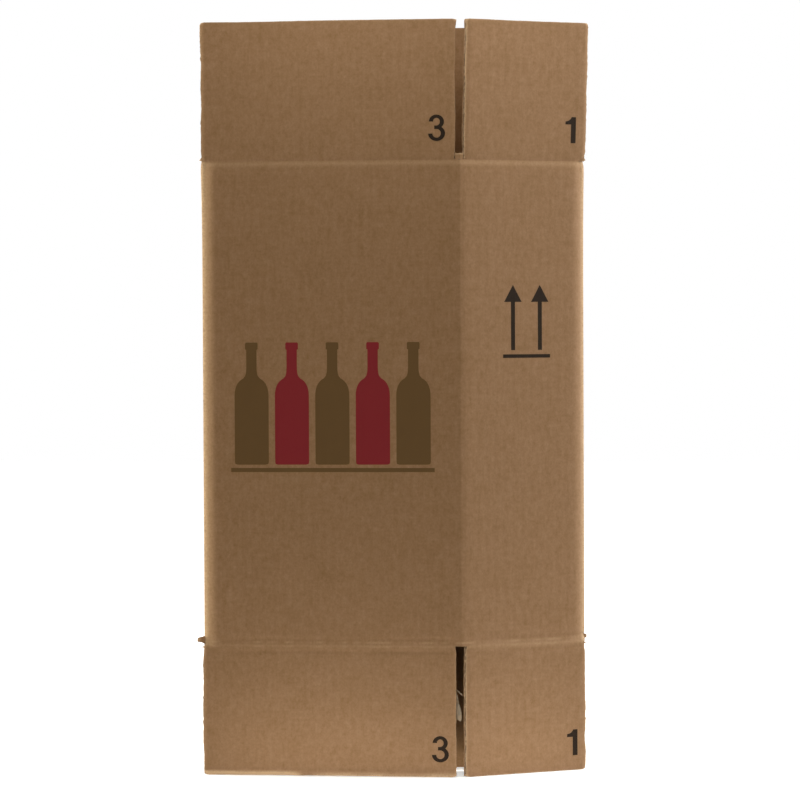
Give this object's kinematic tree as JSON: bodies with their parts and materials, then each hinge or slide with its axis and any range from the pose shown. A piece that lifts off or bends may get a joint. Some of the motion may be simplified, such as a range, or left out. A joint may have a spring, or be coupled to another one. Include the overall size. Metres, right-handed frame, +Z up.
{
  "type": "bottle shipping box",
  "caption": "Tall corrugated shipping box for bottles, empty and partly flattened, with both ends open and hinged flaps at top and bottom.",
  "frame": {"origin": "under the middle of the box's bounding box, on the floor that it stands on", "axes": "+Z up along the flutes; the wide walls run along X; the wide front wall, with flaps 3, faces -Y"},
  "size_m": [0.3068, 0.0872, 0.5936],
  "materials": {
    "kraft_board": "matt brown kraft liner, fluted inside"
  },
  "bodies": {
    "sleeve": {"sleeve": "kraft_board"},
    "flap_1_top": {"flap_1_top": "kraft_board"},
    "flap_1_bottom": {"flap_1_bottom": "kraft_board"},
    "flap_2_top": {"flap_2_top": "kraft_board"},
    "flap_2_bottom": {"flap_2_bottom": "kraft_board"},
    "flap_3_top": {"flap_3_top": "kraft_board"},
    "flap_3_bottom": {"flap_3_bottom": "kraft_board"},
    "flap_4_top": {"flap_4_top": "kraft_board"},
    "flap_4_bottom": {"flap_4_bottom": "kraft_board"}
  },
  "joints": [
    {"name": "flap_1_top_hinge", "type": "hinge", "parent": "sleeve", "child": "flap_1_top", "pos_m": [0.1051, -0.01002, 0.4835], "axis": [0.8434, 0.5373, 0], "range_deg": [-3, 172]},
    {"name": "flap_1_bottom_hinge", "type": "hinge", "parent": "sleeve", "child": "flap_1_bottom", "pos_m": [0.1051, -0.01002, 0.103], "axis": [-0.8434, -0.5373, 0], "range_deg": [0, 175]},
    {"name": "flap_2_top_hinge", "type": "hinge", "parent": "sleeve", "child": "flap_2_top", "pos_m": [-0.1046, -0.00411, 0.4835], "axis": [-0.8241, -0.5664, 0], "range_deg": [-5, 170]},
    {"name": "flap_2_bottom_hinge", "type": "hinge", "parent": "sleeve", "child": "flap_2_bottom", "pos_m": [-0.1046, -0.00411, 0.103], "axis": [0.8241, 0.5664, 0], "range_deg": [0, 175]},
    {"name": "flap_3_top_hinge", "type": "hinge", "parent": "sleeve", "child": "flap_3_top", "pos_m": [-0.04848, -0.04116, 0.4835], "axis": [1, 0, 0], "range_deg": [0, 175]},
    {"name": "flap_3_bottom_hinge", "type": "hinge", "parent": "sleeve", "child": "flap_3_bottom", "pos_m": [-0.04848, -0.04116, 0.103], "axis": [-1, 0, 0], "range_deg": [0, 175]},
    {"name": "flap_4_top_hinge", "type": "hinge", "parent": "sleeve", "child": "flap_4_top", "pos_m": [0.04594, 0.02445, 0.4835], "axis": [-1, 0, 0], "range_deg": [-10, 165]},
    {"name": "flap_4_bottom_hinge", "type": "hinge", "parent": "sleeve", "child": "flap_4_bottom", "pos_m": [0.04594, 0.02445, 0.103], "axis": [1, 0, 0], "range_deg": [0, 175]}
  ]
}
